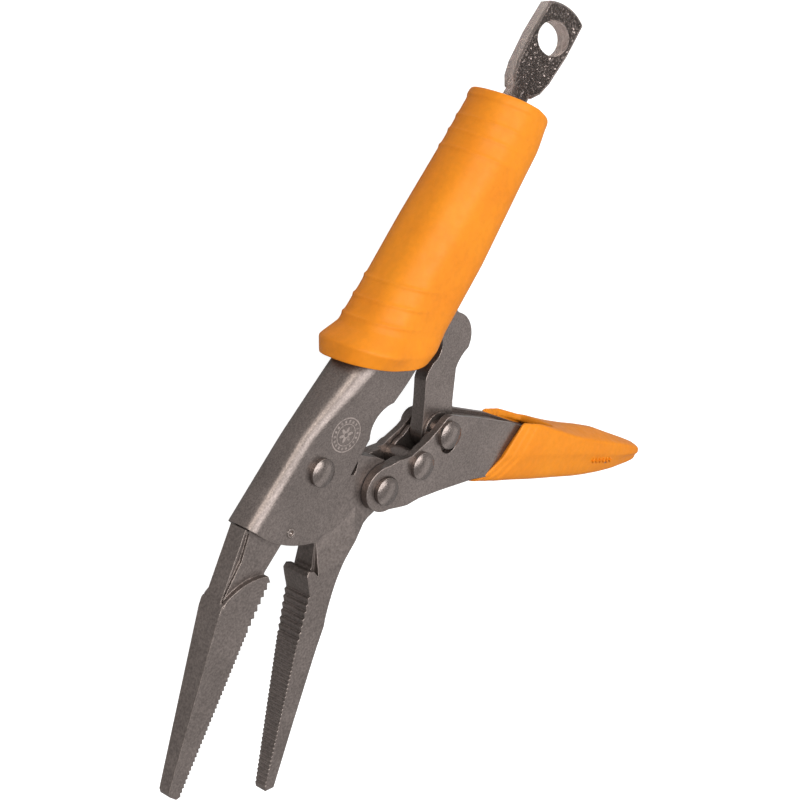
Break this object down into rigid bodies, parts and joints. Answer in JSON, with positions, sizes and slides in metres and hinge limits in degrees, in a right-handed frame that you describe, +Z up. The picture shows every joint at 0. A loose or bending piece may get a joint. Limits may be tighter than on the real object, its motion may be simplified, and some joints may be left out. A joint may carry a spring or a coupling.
{
  "type": "locking pliers",
  "caption": "Long-nose locking pliers with serrated jaws, a toggle lever, an adjusting screw with an eye, and moulded vinyl grips, lying open on one side.",
  "frame": {"origin": "centre of the footprint of the tool lying on its side, on the bench", "axes": "+X along the fixed handle, from the jaw tips to the eye of the adjusting screw; +Y towards the spine of the fixed handle; +Z up, out of the side that faces up"},
  "size_m": [0.234, 0.1353, 0.0226],
  "materials": {
    "handle_steel": "dark satin nickel over pressed sheet steel",
    "jaw_steel": "dark satin nickel over forged steel",
    "rivet_steel": "dark plated, semi gloss",
    "black_nickel": "black nickel with a lightly hammered face",
    "spring_steel": "bright oiled spring wire",
    "grip_vinyl": "matt orange moulded vinyl"
  },
  "bodies": {
    "fixed_handle": {"fixed_handle": "handle_steel", "fixed_grip": "grip_vinyl", "upper_jaw": "jaw_steel", "upper_jaw_pin": "rivet_steel", "jaw_pivot_rivet": "rivet_steel", "spring_pin": "rivet_steel", "jaw_spring": "spring_steel"},
    "adjusting_screw": {"adjusting_screw": "black_nickel"},
    "lower_jaw": {"lower_jaw": "jaw_steel"},
    "lever": {"lever_handle": "handle_steel", "lever_grip": "grip_vinyl", "lever_rivet": "rivet_steel", "link_rivet": "rivet_steel", "release_rivet": "rivet_steel", "link_washer_near": "rivet_steel", "link_washer_far": "rivet_steel", "release_spring": "spring_steel"},
    "toggle_link": {"toggle_link": "handle_steel"},
    "release_lever": {"release_lever": "handle_steel"}
  },
  "joints": [
    {"name": "screw_travel", "type": "slide", "parent": "fixed_handle", "child": "adjusting_screw", "axis": [1, 0, 0], "range_m": [0, 0.012]},
    {"name": "jaw_pivot", "type": "hinge", "parent": "fixed_handle", "child": "lower_jaw", "pos_m": [-0.0256, 0.05475, 0.0113], "axis": [0, 0, -1], "range_deg": [0, 18.8], "deforming": ["jaw_spring"]},
    {"name": "lever_pivot", "type": "hinge", "parent": "lower_jaw", "child": "lever", "pos_m": [-0.0195, 0.02965, 0.0113], "axis": [0, 0, 1], "range_deg": [0, 62.3]},
    {"name": "link_pivot", "type": "hinge", "parent": "lever", "child": "toggle_link", "pos_m": [0.0032, 0.01915, 0.0113], "axis": [0, 0, -1], "range_deg": [0, 59.96]},
    {"name": "release_pivot", "type": "hinge", "parent": "lever", "child": "release_lever", "pos_m": [-0.0082, 0.02285, 0.0113], "axis": [0, 0, -1], "range_deg": [0, 5], "stiffness_Nm_per_rad": 0.4, "deforming": ["release_spring"]}
  ],
  "couplings": [
    {"joint": "jaw_pivot", "follows": "lever_pivot", "ratio": 0.30177},
    {"joint": "link_pivot", "follows": "lever_pivot", "ratio": 0.96236}
  ]
}
